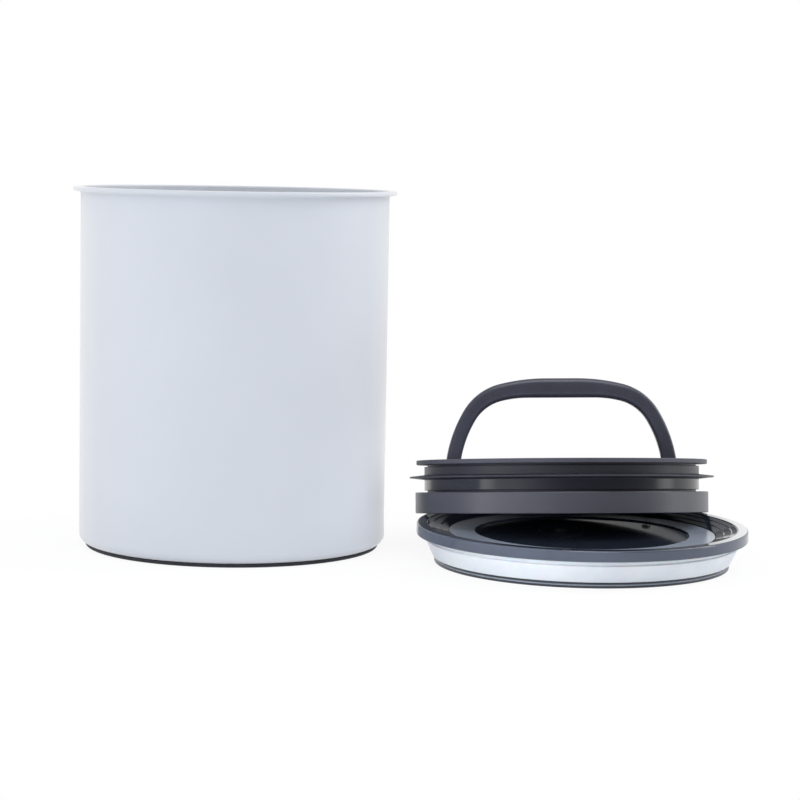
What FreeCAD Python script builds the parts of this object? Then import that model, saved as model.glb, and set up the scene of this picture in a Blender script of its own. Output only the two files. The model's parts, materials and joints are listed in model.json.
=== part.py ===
import FreeCAD, Part
import math
import os

# A coffee canister with its two lids taken off and stacked beside it.
# The inner lid carries a folding handle that opens and shuts a vent valve.
# Millimetres, +Z up, origin at the middle of the underside of the canister.

Vector = FreeCAD.Vector
UP = Vector(0, 0, 1)
ACROSS = Vector(1, 0, 0)
BACK = Vector(0, 1, 0)
TOLERANCE = 1e-6

# Clearances that several fits share
snug = 0.03            # radial, between pieces that do not move on each other
running = 0.05         # radial, a shaft or stem in its bore
free = 0.3             # between moving pieces that must not touch
screw_clearance = 0.3  # radial, round a screw in a plain hole

# Canister
canister_height = 203.0
canister_radius = 87.0
sheet = 0.75
base_corner = 5.0
rim_overhang = 4.3
rim_thickness = 2.5
rim_rounding = 1.1
mouth_rounding = 1.0
pad_height = 2.2
pad_set_in = 3.6
pad_rounding = 0.4
pad_foot_rounding = 1.3

bore_radius = canister_radius - sheet
rim_radius = canister_radius + rim_overhang

# Outer lid, heights from the surface that it lies on
lid_overhang = 0.4         # flange past the canister's rim
lid_height = 21.4
flange_face = 5.9
flange_rounding = 1.0
land_width = 5.7
ledge_widths = [2.6, 3.6, 3.8]
ledge_drop = 0.38
ledge_slope = 0.6
ledge_fall = 0.268         # slope of a ledge towards the middle
ledge_rounding = 0.35
floor_ring_width = 14.2
disc_drop = 0.8
pane_thickness = 2.2
pane_rim = 1.2             # thickness of the pane's rim, under the flange
skirt_set_in = 6.65        # from the canister's bore
skirt_wall = 2.0
bead_width = 2.0
bead_height = 3.2
bead_groove_width = 0.8
bead_groove_depth = 0.5
gasket_squeeze = 0.4
gasket_foot = 2.7          # past the skirt, at the gasket's lower edge
gasket_bead_height = 2.1
gasket_groove_width = 0.7
gasket_groove_depth = 1.3
gasket_rounding = 0.6

lid_radius = rim_radius + lid_overhang
skirt_radius = bore_radius - skirt_set_in
flange_under = lid_height - flange_face
riser_count = len(ledge_widths) + 1
pane_radius = lid_radius - land_width - riser_count * ledge_slope - sum(ledge_widths)
pane_top = lid_height - riser_count * ledge_drop - sum(ledge_widths) * ledge_fall
pane_low = pane_top - pane_thickness
pane_rim_top = pane_low + pane_rim

# Inner lid, heights from the lower edge of its band
band_clearance = 2.25      # from the canister's bore
band_height = 12.0
band_wall = 2.5
underside_recess = 7.0
plate_thickness = 2.5
hub_set_in = 5.2           # from the band
hub_wall = 2.6
neck_height = 6.9          # above the band
shadow_gap = 1.1
shadow_depth = 1.8
wiper_height = 3.3
wiper_squeeze = 1.05       # past the canister's bore
wiper_tip = 0.9
wiper_rounding = 0.35
wiper_shoulder = 0.3
skirt_height = 5.5         # of the hub above the wiper
flange_thickness = 2.6
flange_set_in = 0.6        # from the band
well_set_in = 8.8          # from the hub
well_wall = 2.5
well_depth = 10.3
deck_thickness = 2.0
edge_rounding = 0.5

band_radius = bore_radius - band_clearance
band_bore = band_radius - band_wall
plate_top = underside_recess + plate_thickness
hub_radius = band_radius - hub_set_in
hub_bore = hub_radius - hub_wall
neck_top = band_height + neck_height
wiper_top = neck_top + wiper_height
flange_low = wiper_top + skirt_height
inner_lid_top = flange_low + flange_thickness
well_radius = hub_radius - well_set_in
deck_top = inner_lid_top - well_depth
deck_low = deck_top - deck_thickness

# Screws between the two mouldings of the inner lid
base_screw_count = 6
base_screw_radius = 1.25
base_screw_length = 9.0
base_screw_head = 2.6
base_screw_head_height = 1.6
base_screw_set_in = 10.0   # from the wall of the well
screw_boss_wall = 2.3
recess_width = 0.7
recess_share = 0.6         # depth and reach of the cross recess in a screw head
base_screw_circle = well_radius - base_screw_set_in

# Handle and its shaft
handle_depth = 9.0
handle_rise = 47.2         # above the top flange
handle_bar = 11.2
handle_leg = 8.5
outer_edge_shares = (0.132, 1.65)  # straight middle and crown radius, of the half span
inner_edge_shares = (0.33, 1.06)
handle_wall_gap = 3.2      # from the wall of the well
handle_rounding = 2.3
arch_turns = [math.radians(turn) for turn in (0, 14, 59, 85)]
fold_gap = 0.3             # below the top flange, when folded
shaft_radius = 2.0
pin_radius = 0.8
pivot_height = inner_lid_top - fold_gap - handle_depth / 2
handle_half_span = well_radius - handle_wall_gap
leg_inside = handle_half_span - handle_leg

# Ears with bearing caps that carry the shaft
ear_width = 6.0
ear_length = 18.0
ear_leg_gap = 2.8
cap_thickness = 2.0
cap_screw_radius = 1.0
cap_screw_length = 6.5
cap_screw_head = 1.9
cap_screw_head_height = 1.4
cap_screw_end = 2.6        # from a screw's axis to the end of the ear
cap_screw_gap = 0.5        # between a screw's head and the hump over the shaft
cap_screw_reach = ear_length / 2 - cap_screw_end
ear_middle = leg_inside - ear_leg_gap - ear_width / 2

# Vent valve on the axis of the inner lid
valve_lift = 3.0
cam_radius = 5.5
cam_width = 6.0
cam_hub_wall = 1.2
cam_pin_reach = 0.7
stem_radius = 2.5
stem_head_radius = 7.0
stem_head_thickness = 2.0
stem_collar_radius = 5.5
stem_collar_thickness = 1.2
stem_tail = 0.5
seat_radius = 9.0
seat_gap = 0.2             # left between disc and seat when shut
disc_lap = 4.0
disc_thickness = 2.0
retainer_radius = 5.0
retainer_thickness = 0.8
cup_radius = 8.5
cup_wall = 2.0
cup_depth = 7.5
cup_floor = 1.5
vent_radius = 1.5
vent_count = 4
spring_wire = 0.8
spring_radius = 4.6
spring_turns = 2
spring_end_gap = 0.1
cup_low = deck_top - cup_depth - cup_floor

# Vented cap over the cam
cover_radius = 15.0
cover_wall = 1.5
cover_roof = 1.2
cover_rounding = 1.4
cover_foot = 5.0
cover_foot_thickness = 1.6
cover_screw_radius = 1.0
cover_screw_length = 3.0
cover_screw_head = 1.9
cover_screw_head_height = 1.3
slot_count = 8
slot_width = 1.6
slot_inside = 4.5
slot_outside = 11.5

# Where the lids lie
stand_apart = 14.0         # between the rims of canister and outer lid
lid_forward = 45.0
stack_offset = 53.0        # middle of the inner lid behind the middle of the outer lid
stack_turn = math.radians(8.7)
rest_gap = 0.1             # left under the inner lid where it rests

lid_place = Vector(rim_radius + stand_apart + lid_radius, -lid_forward, 0)
lean_back = Vector(-math.sin(stack_turn), math.cos(stack_turn), 0)
lean_axis = Vector(math.cos(stack_turn), math.sin(stack_turn), 0)
# The band rests on the outer rim where the two circles cross in plan, and the plate above
# the recess rests on the rim's rear point. That gives the lean.
crossing = (stack_offset**2 + lid_radius**2 - band_bore**2) / (2 * stack_offset)
lean = math.atan2(underside_recess, lid_radius - crossing)
inner_lid_height = lid_height + rest_gap - (stack_offset - crossing) * math.tan(lean)
inner_lid_place = FreeCAD.Placement(
    lid_place + lean_back * stack_offset + UP * inner_lid_height,
    FreeCAD.Rotation(lean_axis, -math.degrees(lean)))


def rounded_wire(corners):
    """Closed wire through corners (radius, height, rounding); the rounding may be left out."""
    points = [Vector(corner[0], 0, corner[1]) for corner in corners]
    arrivals = []
    leavings = []
    arcs = []
    for index, point in enumerate(points):
        rounding = corners[index][2] if len(corners[index]) > 2 else 0.0
        before = (points[index - 1] - point).normalize()
        after = (points[(index + 1) % len(points)] - point).normalize()
        if rounding == 0.0:
            arrivals.append(point)
            leavings.append(point)
            arcs.append(None)
            continue
        half = before.getAngle(after) / 2
        reach = rounding / math.tan(half)
        middle = point + (before + after).normalize() * (rounding / math.sin(half) - rounding)
        arrivals.append(point + before * reach)
        leavings.append(point + after * reach)
        arcs.append(Part.Arc(arrivals[-1], middle, leavings[-1]).toShape())
    edges = []
    for index in range(len(points)):
        if arcs[index]:
            edges.append(arcs[index])
        start = leavings[index]
        end = arrivals[(index + 1) % len(points)]
        if start.distanceToPoint(end) > TOLERANCE:
            edges.append(Part.makeLine(start, end))
    return Part.Wire(edges)


def turned(corners):
    """Solid of revolution about the upright axis."""
    return Part.Face(rounded_wire(corners)).revolve(Vector(0, 0, 0), UP, 360)


def rod(radius, start, along, length):
    return Part.makeCylinder(radius, length, start, along)


def block(middle, size):
    """Box centred on a point."""
    return Part.makeBox(size.x, size.y, size.z, middle - size * 0.5)


def on_circle(count, radius, height, start=0.0):
    """Points evenly spaced on a level circle, the first at an angle from +X."""
    angles = [start + 2 * math.pi * index / count for index in range(count)]
    return [Vector(radius * math.cos(a), radius * math.sin(a), height) for a in angles]


def screw(seat, along, shank_radius, shank_length, head_radius, head_height):
    """Round-head screw: the shank runs along from its seat, the head stands the other way."""
    shank = rod(shank_radius, seat, along, shank_length)
    head = rod(head_radius, seat, along * -1, head_height)
    reach = 2 * head_radius * recess_share
    depth = head_height * recess_share
    crown = seat - along * (head_height - depth / 2)
    cross = block(crown, Vector(reach, recess_width, depth))
    cross = cross.fuse(block(crown, Vector(recess_width, reach, depth)))
    return shank.fuse(head).removeSplitter().cut(cross)


def canister_shell():
    rim_under = canister_height - rim_thickness
    return turned([
        (0, pad_height),
        (canister_radius, pad_height, base_corner),
        (canister_radius, rim_under, rim_thickness - rim_rounding),
        (rim_radius, rim_under, rim_rounding),
        (rim_radius, canister_height, rim_rounding),
        (bore_radius, canister_height, mouth_rounding),
        (bore_radius, pad_height + sheet, base_corner - sheet),
        (0, pad_height + sheet)])


def base_pad():
    radius = canister_radius - pad_set_in
    return turned([
        (0, 0),
        (radius, 0, pad_foot_rounding),
        (radius, pad_height, pad_rounding),
        (0, pad_height)])


def outer_lid_flange():
    """Broad rim with ledges that step down to the pane, rebated below for the pane's rim."""
    ledge = lid_radius - land_width
    level = lid_height
    steps = []
    for width in ledge_widths:
        steps.append((ledge, level, ledge_rounding))
        steps.append((ledge - ledge_slope, level - ledge_drop, ledge_rounding))
        level = level - ledge_drop - width * ledge_fall
        ledge = ledge - ledge_slope - width
    return turned([
        (lid_radius, flange_under, ledge_rounding),
        (lid_radius, lid_height, flange_rounding)] + steps + [
        (ledge, level, ledge_rounding),
        (pane_radius, pane_top),
        (pane_radius, pane_rim_top),
        (skirt_radius, pane_rim_top),
        (skirt_radius, flange_under)])


def outer_lid_pane():
    """Round pane, a little sunk in the middle, whose rim lies between flange and plug."""
    disc = pane_top - disc_drop
    disc_radius = pane_radius - floor_ring_width - ledge_slope
    low_radius = disc_radius - pane_thickness / 2
    return turned([
        (0, disc),
        (0, disc - pane_thickness),
        (low_radius, disc - pane_thickness, ledge_rounding),
        (low_radius + ledge_slope, pane_low, ledge_rounding),
        (skirt_radius - snug, pane_low),
        (skirt_radius - snug, pane_rim_top),
        (pane_radius - snug, pane_rim_top),
        (pane_radius - snug, pane_top),
        (disc_radius + ledge_slope, pane_top, ledge_rounding),
        (disc_radius, disc, ledge_rounding)])


def outer_lid_plug():
    """Skirt under the pane's rim, with a grooved bead round its foot."""
    skirt_bore = skirt_radius - skirt_wall
    bead = skirt_radius + bead_width
    groove_low = (bead_height - bead_groove_width) / 2
    groove_high = groove_low + bead_groove_width
    return turned([
        (skirt_bore, pane_low),
        (skirt_bore, 0, ledge_rounding),
        (bead, 0, ledge_rounding),
        (bead, groove_low),
        (bead - bead_groove_depth, groove_low),
        (bead - bead_groove_depth, groove_high),
        (bead, groove_high),
        (bead, bead_height, ledge_rounding),
        (skirt_radius, bead_height),
        (skirt_radius, pane_low)])


def outer_lid_gasket():
    """Ring with a bead under the flange and a lip that tapers towards the plug's foot."""
    seat = skirt_radius + snug
    lip = bore_radius + gasket_squeeze
    bead_low = flange_under - gasket_bead_height
    groove_low = bead_low - gasket_groove_width
    return turned([
        (seat, bead_height),
        (skirt_radius + gasket_foot, bead_height, gasket_rounding),
        (lip, groove_low, gasket_rounding),
        (lip - gasket_groove_depth, groove_low),
        (lip - gasket_groove_depth, bead_low),
        (lip, bead_low, gasket_rounding),
        (lip, flange_under, gasket_rounding),
        (seat, flange_under)])


def inner_lid_band():
    """Wide band that hooks over the rim of the base plate, under the overhang of the neck."""
    hook = hub_radius - shadow_depth + snug
    return turned([
        (band_radius, 0, edge_rounding),
        (band_radius, band_height, edge_rounding),
        (hook, band_height),
        (hook, plate_top + snug),
        (band_bore, plate_top + snug),
        (band_bore, 0, edge_rounding)])


def inner_lid_base():
    """Plate with the valve seat and the screw holes, under a neck for the wiper."""
    plate_radius = band_bore - snug
    neck_shadow = hub_radius - shadow_depth
    base = turned([
        (plate_radius, underside_recess, edge_rounding),
        (plate_radius, plate_top),
        (neck_shadow, plate_top),
        (neck_shadow, band_height + shadow_gap),
        (hub_radius, band_height + shadow_gap),
        (hub_radius, neck_top),
        (hub_bore, neck_top),
        (hub_bore, plate_top),
        (seat_radius, plate_top),
        (seat_radius, underside_recess)])
    hole_radius = base_screw_radius + screw_clearance
    holes = [rod(hole_radius, seat, UP, plate_thickness) for seat in base_screw_seats()]
    return base.cut(holes)


def base_screw_seats():
    start = math.pi / base_screw_count
    return on_circle(base_screw_count, base_screw_circle, underside_recess, start)


def base_screws():
    return [screw(seat, UP, base_screw_radius, base_screw_length,
                  base_screw_head, base_screw_head_height) for seat in base_screw_seats()]


def inner_lid_housing():
    """Flange, hub and well, with the valve cup, screw bosses and shaft ears on the deck."""
    guide = stem_radius + running
    cup_outside = cup_radius + cup_wall
    hub_shadow = hub_radius - shadow_depth
    well_outside = well_radius + well_wall
    housing = turned([
        (guide, cup_low),
        (cup_outside, cup_low, edge_rounding),
        (cup_outside, deck_low, edge_rounding),
        (well_outside, deck_low),
        (well_outside, flange_low),
        (hub_bore, flange_low),
        (hub_bore, wiper_top),
        (hub_radius, wiper_top),
        (hub_radius, flange_low - shadow_gap),
        (hub_shadow, flange_low - shadow_gap),
        (hub_shadow, flange_low),
        (band_radius - flange_set_in, flange_low, edge_rounding),
        (band_radius - flange_set_in, inner_lid_top, edge_rounding),
        (well_radius, inner_lid_top, edge_rounding),
        (well_radius, deck_top, edge_rounding),
        (cup_radius, deck_top),
        (cup_radius, cup_low + cup_floor, edge_rounding),
        (guide, cup_low + cup_floor)])
    boss_radius = base_screw_radius + screw_boss_wall
    bosses = [rod(boss_radius, Vector(s.x, s.y, plate_top), UP, deck_low - plate_top)
              for s in base_screw_seats()]
    ear_height = pivot_height - deck_top
    ears = [block(Vector(side * ear_middle, 0, deck_top + ear_height / 2),
                  Vector(ear_width, ear_length, ear_height)) for side in (-1, 1)]
    cuts = [rod(base_screw_radius + snug, seat, UP, base_screw_length)
            for seat in base_screw_seats()]
    cuts = cuts + [rod(cap_screw_radius + snug, seat, UP * -1, cap_screw_length)
                   for seat in cap_screw_seats()]
    cuts = cuts + [rod(cover_screw_radius + snug, seat, UP * -1, cover_screw_length)
                   for seat in cover_screw_seats()]
    vent_circle = (guide + cup_radius) / 2
    cuts = cuts + [rod(vent_radius, point, UP, cup_floor)
                   for point in on_circle(vent_count, vent_circle, cup_low)]
    cuts.append(shaft_bore())
    return housing.fuse(bosses + ears).removeSplitter().cut(cuts)


def shaft_bore():
    """Running bore of the shaft, through both ears and their caps."""
    reach = ear_middle + ear_width / 2
    return rod(shaft_radius + running, Vector(-reach, 0, pivot_height), ACROSS, 2 * reach)


def wiper_seal():
    """Collar held between the mouldings, with a lip that thins towards its tip."""
    tip = bore_radius + wiper_squeeze
    middle = (neck_top + wiper_top) / 2
    return turned([
        (hub_bore, neck_top),
        (hub_radius, neck_top),
        (hub_radius, neck_top + wiper_shoulder),
        (tip, middle - wiper_tip / 2, wiper_rounding),
        (tip, middle + wiper_tip / 2, wiper_rounding),
        (hub_radius, wiper_top - wiper_shoulder),
        (hub_radius, wiper_top),
        (hub_bore, wiper_top)])


def cap_screw_seats():
    height = pivot_height + cap_thickness
    return [Vector(side * ear_middle, end * cap_screw_reach, height)
            for side in (-1, 1) for end in (-1, 1)]


def cap_screws():
    return [screw(seat, UP * -1, cap_screw_radius, cap_screw_length,
                  cap_screw_head, cap_screw_head_height) for seat in cap_screw_seats()]


def shaft_caps():
    """Saddle over the shaft on each ear."""
    hump_radius = cap_screw_reach - cap_screw_head - cap_screw_gap
    holes = [rod(cap_screw_radius + screw_clearance, seat, UP * -1, cap_thickness)
             for seat in cap_screw_seats()]
    caps = []
    for side in (-1, 1):
        middle = Vector(side * ear_middle, 0, pivot_height)
        saddle = block(middle + UP * cap_thickness / 2,
                       Vector(ear_width, ear_length, cap_thickness))
        hump = rod(hump_radius, middle - ACROSS * ear_width / 2, ACROSS, ear_width)
        hump = hump.common(block(middle + UP * hump_radius / 2,
                                 Vector(ear_width, 2 * hump_radius, hump_radius)))
        caps.append(saddle.fuse(hump).removeSplitter().cut(holes + [shaft_bore()]))
    return caps


def arch(half_span, top, shares):
    """Edges of an arch: a straight middle, and on each side a crown arc, a shoulder arc and
    a leg arc that meet in line. The last two radii follow from the span and the height over
    the pivot."""
    flat_share, crown_share = shares
    half_flat = half_span * flat_share
    crown = half_span * crown_share
    across = [math.sin(arch_turns[i + 1]) - math.sin(arch_turns[i]) for i in range(3)]
    down = [math.cos(arch_turns[i]) - math.cos(arch_turns[i + 1]) for i in range(3)]
    wide = half_span - half_flat - crown * across[0]
    high = top - pivot_height - crown * down[0]
    spread = across[1] * down[2] - across[2] * down[1]
    shoulder = (wide * down[2] - across[2] * high) / spread
    leg = (across[1] * high - wide * down[1]) / spread
    route = [(half_flat, top)]
    for index, radius in enumerate((crown, shoulder, leg)):
        x, z = route[-1]
        start, end = arch_turns[index], arch_turns[index + 1]
        for turn in ((start + end) / 2, end):
            route.append((x + radius * (math.sin(turn) - math.sin(start)),
                          z - radius * (math.cos(start) - math.cos(turn))))
    edges = [Part.makeLine(Vector(-half_flat, 0, top), Vector(half_flat, 0, top))]
    for side in (-1, 1):
        points = [Vector(side * x, 0, z) for x, z in route]
        for index in (0, 2, 4):
            edges.append(Part.Arc(*points[index:index + 3]).toShape())
    return edges


def handle():
    """Arched bar with rounded edges, whose legs end in round feet about the shaft."""
    top = inner_lid_top + handle_rise
    edges = arch(handle_half_span, top, outer_edge_shares)
    edges = edges + arch(leg_inside, top - handle_bar, inner_edge_shares)
    for side in (-1, 1):
        edges.append(Part.makeLine(Vector(side * leg_inside, 0, pivot_height),
                                   Vector(side * handle_half_span, 0, pivot_height)))
    face = Part.Face(Part.Wire(Part.sortEdges(edges)[0]))
    face.translate(BACK * (-handle_depth / 2))
    bar = face.extrude(BACK * handle_depth)
    rims = [edge for edge in bar.Edges
            if edge.BoundBox.YLength < TOLERANCE
            and edge.BoundBox.ZMax > pivot_height + TOLERANCE]
    bar = bar.makeFillet(handle_rounding, rims)
    feet = [rod(handle_depth / 2, Vector(x, 0, pivot_height), ACROSS, handle_leg)
            for x in (leg_inside, -handle_half_span)]
    hole = rod(shaft_radius + snug, Vector(-handle_half_span, 0, pivot_height), ACROSS,
               2 * handle_half_span)
    return bar.fuse(feet).removeSplitter().cut([hole] + pin_rods(pin_radius + snug))


def pin_rods(radius):
    """One rod through each leg and the shaft, front to back."""
    middle = (leg_inside + handle_half_span) / 2
    return [rod(radius, Vector(side * middle, -handle_depth / 2, pivot_height), BACK,
                handle_depth) for side in (-1, 1)]


def cam_pin_rod(radius):
    """Rod from the crown of the cam's hub down through the shaft."""
    hub = shaft_radius + cam_hub_wall
    return rod(radius, Vector(0, 0, pivot_height + hub), UP * -1,
               hub + shaft_radius + cam_pin_reach)


def cross_shaft():
    shaft = rod(shaft_radius, Vector(-handle_half_span, 0, pivot_height), ACROSS,
                2 * handle_half_span)
    return shaft.cut(pin_rods(pin_radius + snug) + [cam_pin_rod(pin_radius + snug)])


def valve_cam():
    """Quarter of an off-centre disc on a round hub. A quarter turn moves its lowest point
    by the valve's lift, at a nearly even rate."""
    offset = valve_lift / 2
    start = Vector(-cam_width / 2, 0, pivot_height)
    hub_outside = shaft_radius + cam_hub_wall
    disc = rod(cam_radius, start + BACK * offset - UP * offset, ACROSS, cam_width)
    reach = 2 * cam_radius
    quarter = block(Vector(0, hub_outside - reach / 2, pivot_height - reach / 2),
                    Vector(cam_width, reach, reach))
    hub = rod(hub_outside, start, ACROSS, cam_width)
    bore = rod(shaft_radius + snug, start, ACROSS, cam_width)
    lobe = disc.common(quarter).fuse(hub).removeSplitter()
    return lobe.cut([bore, cam_pin_rod(pin_radius + snug)])


def stem_levels():
    """Heights at rest, with the handle up and the valve open: head top, head underside,
    top of the disc, underside of the disc."""
    head_top = pivot_height - cam_radius - valve_lift / 2 - free
    disc_top = underside_recess - valve_lift - seat_gap
    return head_top, head_top - stem_head_thickness, disc_top, disc_top - disc_thickness


def valve_stem():
    head_top, head_low, disc_top, disc_low = stem_levels()
    return turned([
        (0, disc_low - retainer_thickness - stem_tail),
        (stem_radius, disc_low - retainer_thickness - stem_tail, stem_tail),
        (stem_radius, disc_top),
        (stem_collar_radius, disc_top),
        (stem_collar_radius, disc_top + stem_collar_thickness),
        (stem_radius, disc_top + stem_collar_thickness),
        (stem_radius, head_low),
        (stem_head_radius, head_low),
        (stem_head_radius, head_top, edge_rounding),
        (0, head_top)])


def valve_disc():
    head_top, head_low, disc_top, disc_low = stem_levels()
    radius = seat_radius + disc_lap
    return turned([
        (stem_radius + snug, disc_low),
        (radius, disc_low, edge_rounding),
        (radius, disc_top, edge_rounding),
        (stem_radius + snug, disc_top)])


def valve_retainer():
    head_top, head_low, disc_top, disc_low = stem_levels()
    return turned([
        (stem_radius + snug, disc_low - retainer_thickness),
        (retainer_radius, disc_low - retainer_thickness),
        (retainer_radius, disc_low),
        (stem_radius + snug, disc_low)])


def tangent_arc(start, corner, end):
    """Arc that leaves start and reaches end along the lines to their common corner."""
    chord = (start + end) * 0.5
    half = (corner - start).getAngle(end - start)
    bulge = math.tan(half / 2) / math.tan(half)
    return Part.Arc(start, chord + (corner - chord) * bulge, end).toShape()


def valve_spring():
    """Coil of round wire. Each quarter turn is two arcs that meet in line."""
    head_low = stem_levels()[1]
    seat = deck_top - cup_depth
    low = seat + spring_wire / 2 + spring_end_gap
    high = head_low - spring_wire / 2 - spring_end_gap
    turn_rise = (high - low) / spring_turns
    slope = turn_rise / (2 * math.pi)

    def point(angle):
        return Vector(spring_radius * math.cos(angle), spring_radius * math.sin(angle),
                      low + slope * angle)

    def heading(angle):
        return Vector(-spring_radius * math.sin(angle), spring_radius * math.cos(angle),
                      slope).normalize()

    edges = []
    for quarter in range(4 * spring_turns):
        start_angle = quarter * math.pi / 2
        end_angle = start_angle + math.pi / 2
        start, end = point(start_angle), point(end_angle)
        leave, arrive = heading(start_angle), heading(end_angle)
        span = end - start
        both = span.dot(leave + arrive)
        opening = 2 * (1 - leave.dot(arrive))
        reach = (math.sqrt(both**2 + opening * span.dot(span)) - both) / opening
        first = start + leave * reach
        second = end - arrive * reach
        meeting = (first + second) * 0.5
        edges.append(tangent_arc(start, first, meeting))
        edges.append(tangent_arc(meeting, second, end))
    print("spring: least gap between turns %.2f mm" % spring_gap(point, spring_turns))
    ring = Part.Wire(Part.makeCircle(spring_wire / 2, point(0), heading(0)))
    return Part.Wire(edges).makePipeShell([ring], True, False)


def spring_gap(point, turns):
    """Least distance between points of the wire more than half a turn apart, less the wire."""
    steps = 48
    points = [point(2 * math.pi * index / steps) for index in range(steps * turns + 1)]
    gaps = [points[i].distanceToPoint(points[j]) for i in range(len(points))
            for j in range(i + steps // 2, len(points))]
    return min(gaps) - spring_wire


def cover_screw_seats():
    reach = cover_radius + cover_foot / 2
    return [Vector(0, end * reach, deck_top + cover_foot_thickness) for end in (-1, 1)]


def cover_screws():
    return [screw(seat, UP * -1, cover_screw_radius, cover_screw_length,
                  cover_screw_head, cover_screw_head_height) for seat in cover_screw_seats()]


def valve_cover():
    """Round cap on a foot flange, notched for the shaft, with vent slots in its roof."""
    roof_low = pivot_height + shaft_radius + cam_hub_wall + free
    roof = roof_low + cover_roof
    inside = cover_radius - cover_wall
    foot = cover_radius + cover_foot
    cover = turned([
        (inside, deck_top),
        (foot, deck_top),
        (foot, deck_top + cover_foot_thickness, edge_rounding),
        (cover_radius, deck_top + cover_foot_thickness),
        (cover_radius, roof, cover_rounding),
        (0, roof),
        (0, roof_low),
        (inside, roof_low)])
    notch_radius = shaft_radius + free
    notch_height = pivot_height - deck_top
    cuts = [rod(notch_radius, Vector(-foot, 0, pivot_height), ACROSS, 2 * foot),
            block(Vector(0, 0, deck_top + notch_height / 2),
                  Vector(2 * foot, 2 * notch_radius, notch_height))]
    cuts = cuts + [rod(cover_screw_radius + screw_clearance, seat, UP * -1, cover_foot_thickness)
                   for seat in cover_screw_seats()]
    slot = block(Vector((slot_inside + slot_outside) / 2, 0, roof_low + cover_roof / 2),
                 Vector(slot_outside - slot_inside, slot_width, cover_roof))
    for index in range(slot_count):
        angle = 360.0 * (index + 0.5) / slot_count
        cuts.append(slot.rotated(Vector(0, 0, 0), UP, angle))
    return cover.cut(cuts)


def save(name, shape, place):
    """Place one piece, or a group of like pieces, and write it under its node's name."""
    solids = shape if isinstance(shape, list) else [shape]
    placed = [solid.copy() for solid in solids]
    for solid in placed:
        solid.Placement = place.multiply(solid.Placement)
    whole = placed[0] if len(placed) == 1 else Part.makeCompound(placed)
    whole.exportStep("parts/%s.step" % name)


os.makedirs("parts", exist_ok=True)
upright = FreeCAD.Placement()
outer_lid_place = FreeCAD.Placement(lid_place, FreeCAD.Rotation())
for maker in (canister_shell, base_pad):
    save(maker.__name__, maker(), upright)
for maker in (outer_lid_flange, outer_lid_pane, outer_lid_plug, outer_lid_gasket):
    save(maker.__name__, maker(), outer_lid_place)
for maker in (inner_lid_housing, inner_lid_base, inner_lid_band, wiper_seal, base_screws,
              shaft_caps, cap_screws, valve_spring, valve_cover, cover_screws, handle,
              cross_shaft, valve_cam, valve_stem, valve_disc, valve_retainer):
    save(maker.__name__, maker(), inner_lid_place)
save("handle_pins", pin_rods(pin_radius), inner_lid_place)
save("cam_pin", cam_pin_rod(pin_radius), inner_lid_place)
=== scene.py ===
import json
import math

import bmesh
import bpy
import numpy as np
from mathutils import Matrix, Vector


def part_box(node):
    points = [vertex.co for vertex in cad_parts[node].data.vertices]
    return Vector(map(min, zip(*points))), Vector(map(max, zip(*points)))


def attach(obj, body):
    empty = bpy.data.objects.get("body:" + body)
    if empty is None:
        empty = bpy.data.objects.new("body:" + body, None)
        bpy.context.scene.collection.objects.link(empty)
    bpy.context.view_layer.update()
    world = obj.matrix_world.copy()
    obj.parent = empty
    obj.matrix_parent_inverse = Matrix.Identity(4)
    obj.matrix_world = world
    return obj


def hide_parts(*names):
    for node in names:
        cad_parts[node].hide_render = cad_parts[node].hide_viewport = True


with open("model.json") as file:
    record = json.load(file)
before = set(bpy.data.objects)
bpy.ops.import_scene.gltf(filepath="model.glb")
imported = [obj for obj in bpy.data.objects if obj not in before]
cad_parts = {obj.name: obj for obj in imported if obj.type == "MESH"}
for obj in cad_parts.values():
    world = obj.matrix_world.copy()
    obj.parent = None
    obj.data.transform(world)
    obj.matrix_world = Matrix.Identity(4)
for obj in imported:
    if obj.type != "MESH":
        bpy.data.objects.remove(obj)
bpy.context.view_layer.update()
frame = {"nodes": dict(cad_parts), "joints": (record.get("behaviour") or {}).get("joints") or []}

# A coffee canister beside its two lids, which lie on each other. Sizes are in millimetres and
# meet those of the CAD nodes; the meshes are put into the scene in metres.
MM = 0.001

# Canister
canister_height = 203.0
canister_radius = 87.0
sheet = 0.75
base_corner = 5.0
rim_radius = 91.3
rim_thickness = 2.5
rim_rounding = 1.1
mouth_rounding = 1.0
mouth_coated = 6.0       # how far the coat runs down inside the mouth
bore_radius = canister_radius - sheet
pad_radius = 83.4
pad_height = 2.2
pad_rounding = 0.4
pad_foot_rounding = 1.3
pad_groove_radii = (66.0, 71.0, 76.0)
pad_groove_width = 1.6
pad_groove_depth = 0.6

# Outer lid, heights from the surface that it lies on
lid_radius = 91.7
lid_height = 21.4
flange_under = 15.5
flange_rounding = 1.0
land_radius = 86.0
ledge_widths = (2.6, 3.6, 3.8)
riser_count = len(ledge_widths) + 1
ledge_drop = 0.38        # height of each riser
ledge_slope = 0.6        # width of each riser
ledge_fall = 0.268       # of a ledge's width, down towards the pane
ledge_rounding = 0.35
floor_ring_width = 14.2  # frosted ring round the pane's middle
disc_drop = 0.8          # how far that middle is sunk
pane_radius = land_radius - riser_count * ledge_slope - sum(ledge_widths)
pane_top = lid_height - riser_count * ledge_drop - sum(ledge_widths) * ledge_fall
pane_thickness = 2.2
pane_low = pane_top - pane_thickness
pane_rim_height = 1.2
pane_rim_top = pane_low + pane_rim_height
plug_radius = 79.6
plug_wall = 2.0
bead_radius = 81.6
bead_height = 3.2
bead_groove_width = 0.8
bead_groove_depth = 0.5
gasket_seat = 79.63
gasket_foot = 82.3
gasket_lip = 86.65
gasket_bead_low = 13.4
gasket_groove_low = 12.7
gasket_groove_depth = 1.3
gasket_rounding = 0.6

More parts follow.
